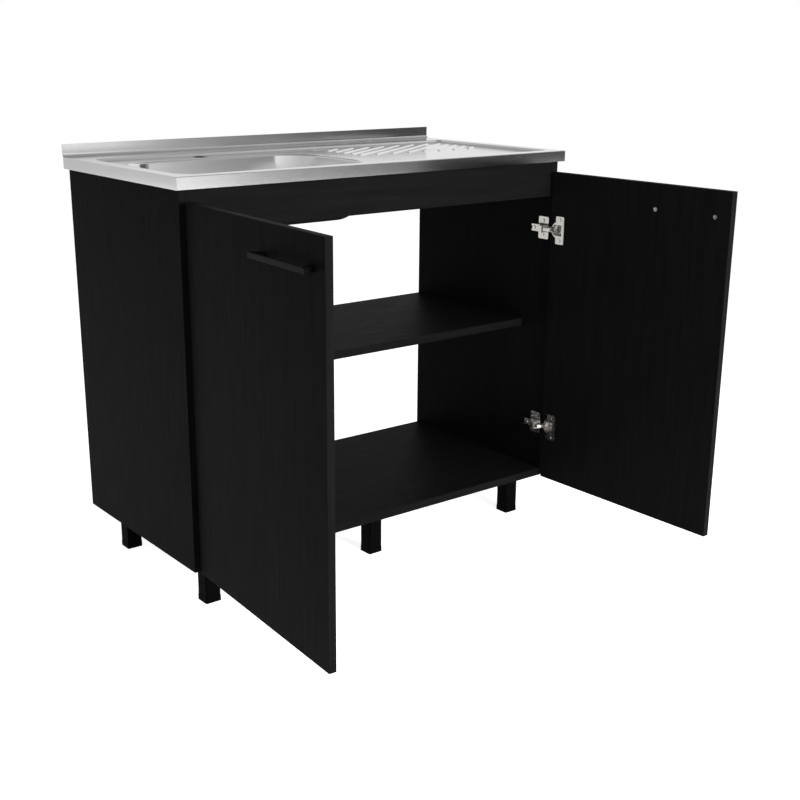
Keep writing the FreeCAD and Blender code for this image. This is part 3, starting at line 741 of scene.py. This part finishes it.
def rib_height(x, y):
    """How far the sheet is pressed up at a place on the drainboard."""
    x0, x1, y0, y1 = BOARD_SPAN
    low = y1 - RIB_END_GAP - RIB_ZONE
    slope = math.tan(RIB_ANGLE)
    foot = x - (y - low) / slope
    number = round((foot - x0 - RIB_END_GAP) / RIB_PITCH)
    line = x0 + RIB_END_GAP + number * RIB_PITCH
    start_x = max(line, x0 + RIB_END_GAP)
    end_x = min(line + RIB_ZONE / slope, x1 - RIB_END_GAP)
    if end_x - start_x < RIB_SHORTEST:
        return 0.0
    start = Vector((start_x, low + (start_x - line) * slope))
    end = Vector((end_x, low + (end_x - line) * slope))
    along = (Vector((x, y)) - start).dot(end - start) / (end - start).length_squared
    nearest = start + (end - start) * min(max(along, 0.0), 1.0)
    distance = (Vector((x, y)) - nearest).length / RIB_HALF
    if distance >= 1.0:
        return 0.0
    return RIB_RISE * (1.0 + math.cos(math.pi * distance)) / 2


def drainboard_grid(mesh, z):
    """A fine grid pressed up into ribs; gives its border edges."""
    x0, x1, y0, y1 = shrunk(BOARD_SPAN, RIB_MARGIN)
    verts = bmesh.ops.create_grid(
        mesh,
        x_segments=round((x1 - x0) / RIB_GRID),
        y_segments=round((y1 - y0) / RIB_GRID),
        size=HALF_METRE,
    )["verts"]
    bmesh.ops.scale(mesh, vec=(x1 - x0, y1 - y0, 1.0), verts=verts)
    bmesh.ops.translate(mesh, vec=((x0 + x1) / 2, (y0 + y1) / 2, z), verts=verts)
    for vert in verts:
        vert.co.z += rib_height(vert.co.x, vert.co.y)
    return [edge for edge in loop_edges(verts) if edge.is_boundary]


grid_edge = drainboard_grid(sheet_mesh, board_z)

# The flats between the loops are filled at a larger scale, where thin gaps fill well.
FILL_SCALE = 1000.0
SHEET_WELD = 0.00001

bmesh.ops.scale(sheet_mesh, vec=Vector.Fill(3, FILL_SCALE), verts=sheet_mesh.verts)
for rings in (deck_loop + mouth_loop + edge_loop + tap_loop, board_loop + grid_edge):
    bmesh.ops.triangle_fill(
        sheet_mesh, use_beauty=True, use_dissolve=False, edges=rings, normal=(0, 0, 1)
    )
bmesh.ops.scale(sheet_mesh, vec=Vector.Fill(3, 1 / FILL_SCALE), verts=sheet_mesh.verts)
bmesh.ops.remove_doubles(sheet_mesh, verts=sheet_mesh.verts, dist=SHEET_WELD)
sheet_mesh.normal_update()

UPRIGHT_NORMAL = 0.01


def face_outwards(mesh):
    """Turns every face of the sheet to its polished side: up, or out at the skirt."""
    hidden = []
    for face in mesh.faces:
        middle = face.calc_center_median()
        outward = Vector((middle.x, middle.y - (TOP_LOW.y + TOP_HIGH.y) / 2, 0.0))
        skirt = abs(face.normal.z) < UPRIGHT_NORMAL
        if (skirt and face.normal.dot(outward) < 0.0) or (not skirt and face.normal.z < 0.0):
            hidden.append(face)
    bmesh.ops.reverse_faces(mesh, faces=hidden)


def thicken(piece, thickness, back_slot=0):
    """Gives a sheet its wall behind the polished side, before its shading is evened."""
    wall = piece.modifiers.new("sheet_thickness", "SOLIDIFY")
    wall.thickness = thickness
    wall.offset = -1.0
    wall.material_offset = back_slot
    piece.modifiers.move(1, 0)


face_outwards(sheet_mesh)
brushed_steel = steel_material("brushed_stainless")
sink = add_piece(
    "pressed_sink_top", sheet_mesh, brushed_steel, "cabinet", ["sink_top"]
)
# The back faces get the near-black painted-shade colour in place of the shadow under the bowl.
sink.data.materials.append(painted_shade_underside_material("sound_deadening_coat"))
thicken(sink, SHEET, back_slot=1)

# -------------------------------------------------------- the backsplash
# A low upstand of the same steel, folded double along the sheet's rear edge. It
# meets the flat of the rim in a small hollow curve.

SPLASH_LIFT = 0.0002
SPLASH_FOOT = 0.0125
SPLASH_COVE = 0.007
SPLASH_ARC_CUTS = 8
SPLASH_CUTS = 19
SPLASH_LONG_EDGE = SPLASH_FOOT * 4

splash_mesh = bmesh.new()
splash_fold = [
    (-SPLASH_THICKNESS, TOP_HIGH.z),
    (-SPLASH_THICKNESS, RIM_TOP + SPLASH_LIFT),
    (-SPLASH_FOOT, RIM_TOP + SPLASH_LIFT),
]
fold_line = rounded_profile(splash_fold, [SPLASH_COVE], SPLASH_ARC_CUTS)
previous = splash_mesh.verts.new((TOP_LOW.x, *fold_line[0]))
for place in fold_line[1:]:
    vert = splash_mesh.verts.new((TOP_LOW.x, *place))
    splash_mesh.edges.new((previous, vert))
    previous = vert
drawn = bmesh.ops.extrude_edge_only(splash_mesh, edges=splash_mesh.edges)["geom"]
bmesh.ops.translate(
    splash_mesh,
    vec=(TOP_HIGH.x - TOP_LOW.x, 0.0, 0.0),
    verts=[part for part in drawn if isinstance(part, bmesh.types.BMVert)],
)
long_edges = [edge for edge in splash_mesh.edges if edge.calc_length() > SPLASH_LONG_EDGE]
bmesh.ops.subdivide_edges(splash_mesh, edges=long_edges, cuts=SPLASH_CUTS)
splash_mesh.normal_update()
turned_back = [face for face in splash_mesh.faces if face.normal.z - face.normal.y < 0.0]
bmesh.ops.reverse_faces(splash_mesh, faces=turned_back)
splash = add_piece("backsplash", splash_mesh, brushed_steel, "cabinet", [])
thicken(splash, SPLASH_THICKNESS)

# --------------------------------------------- the battens and the dowels
# Sawn softwood strips fill the gap between the folded rim and the body. They
# and the dowels that line up the boards are bare wood.

WOOD = (0.45, 0.31, 0.18)
WOOD_DARK = (0.36, 0.23, 0.12)
WOOD_LIGHT = (0.55, 0.40, 0.25)
WOOD_EDGE = 0.0005


def wood_material(name):
    material, tree, shader = add_material(name, WOOD, roughness=0.7, specular=0.3)
    rings = add_grain(tree, (6.0, 160.0, 160.0), detail=5.0, distortion=0.8)
    set_tones(tree, shader, rings, WOOD_DARK, WOOD_LIGHT, start=0.3, end=0.7)
    set_relief(tree, shader, rings, strength=0.4, distance=0.0004)
    return material


softwood = wood_material("sawn_softwood")
for strip in ("left_rim_batten", "right_rim_batten", "front_rim_batten", "dowels"):
    eased_copy(strip, softwood, WOOD_EDGE)

# --------------------------------------------------------------- the legs
# Square legs of moulded black plastic with a pebbled skin. A flange at the top
# of each is screwed to the base, and a cap closes the foot.

PLASTIC = (0.0022, 0.0022, 0.0023)
LEG_EDGE = 0.0005
CAP_EDGE = 0.0006


def plastic_material(name):
    material, tree, shader = add_material(name, PLASTIC, roughness=0.55, specular=0.01)
    pebble = add_grain(tree, (1400.0, 1400.0, 1400.0), detail=2.0)
    set_gloss(tree, shader, pebble, smooth=0.45, rough=0.6)
    set_relief(tree, shader, pebble, strength=0.3, distance=0.0002)
    return material


leg_plastic = plastic_material("leg_plastic")
for row in ("front", "rear"):
    for column in ("left", "middle", "right"):
        eased_copy(row + "_" + column + "_leg", leg_plastic, LEG_EDGE)
eased_copy("leg_caps", leg_plastic, CAP_EDGE)

# ------------------------------------------------------------ the handles
# Flat bow handles of metal, coated in satin black. Screws through the door
# hold each one.

BLACK_COATING = (0.004, 0.004, 0.0042)
HANDLE_EDGE = 0.0007
HANDLE_EDGE_CUTS = 3


def coating_material(name):
    material, tree, shader = add_material(name, BLACK_COATING, roughness=0.4, specular=0.04)
    mottle = add_grain(tree, (700.0, 700.0, 700.0), detail=2.0)
    set_gloss(tree, shader, mottle, smooth=0.3, rough=0.42)
    set_relief(tree, shader, mottle, strength=0.15, distance=0.0002)
    return material


satin_black = coating_material("satin_black_coating")
for side in ("left", "right"):
    eased_copy(side + "_handle", satin_black, HANDLE_EDGE, HANDLE_EDGE_CUTS)

# ------------------------------------------------------------- the hinges
# Concealed hinges of pressed steel, nickel plated, two to a door. A cup is
# screwed into the door and an arm to a plate on the side panel, and two links
# on pins join them.

NICKEL_BRIGHT = (0.66, 0.64, 0.61)
NICKEL_DULL = (0.52, 0.50, 0.47)
HINGE_EDGE = 0.0002
CUP_PIN_EDGE = 0.0001


def plated_material(name, bright, dull, smooth, rough):
    material, tree, shader = add_material(name, bright, smooth, metallic=1.0)
    mottle = add_grain(tree, (260.0, 260.0, 260.0), detail=3.0)
    set_tones(tree, shader, mottle, dull, bright, start=0.35, end=0.7)
    set_gloss(tree, shader, mottle, smooth, rough)
    set_relief(tree, shader, mottle, strength=0.1, distance=0.0002)
    return material


nickel = plated_material("nickel_plate", NICKEL_BRIGHT, NICKEL_DULL, smooth=0.16, rough=0.28)
for side in ("left", "right"):
    for level in ("upper", "lower"):
        for part in ("hinge_plate", "hinge_arm", "hinge_cup", "outer_link", "inner_link"):
            name = level + "_" + side + "_" + part
            eased_copy(name, nickel, HINGE_EDGE)
    eased_copy(side + "_cup_screws", nickel, HINGE_EDGE)
    eased_copy(side + "_cup_pins", nickel, CUP_PIN_EDGE)
for part in ("hinge_plate_screws", "hinge_arm_screws", "hinge_arm_pins"):
    eased_copy(part, nickel, HINGE_EDGE)

# ----------------------------------------------------------- the fixings
# Zinc plated steel: the screws of the handles and legs, the cams and bolts that
# draw the boards together, and the pins under the shelf.

SCREW_BRIGHT = (0.95, 0.95, 0.95)
SCREW_DULL = (0.85, 0.85, 0.86)
ZINC_BRIGHT = (0.62, 0.63, 0.64)
ZINC_DULL = (0.50, 0.51, 0.52)
SCREW_EDGE = 0.0003
FIXING_EDGE = 0.0002

screw_zinc = plated_material("screw_zinc", SCREW_BRIGHT, SCREW_DULL, smooth=0.3, rough=0.4)
for side in ("left", "right"):
    eased_copy(side + "_handle_screws", screw_zinc, SCREW_EDGE)

zinc = plated_material("zinc_plate", ZINC_BRIGHT, ZINC_DULL, smooth=0.25, rough=0.4)
for part in ("leg_screws", "cam_bolts", "cams", "shelf_pins"):
    eased_copy(part, zinc, FIXING_EDGE)
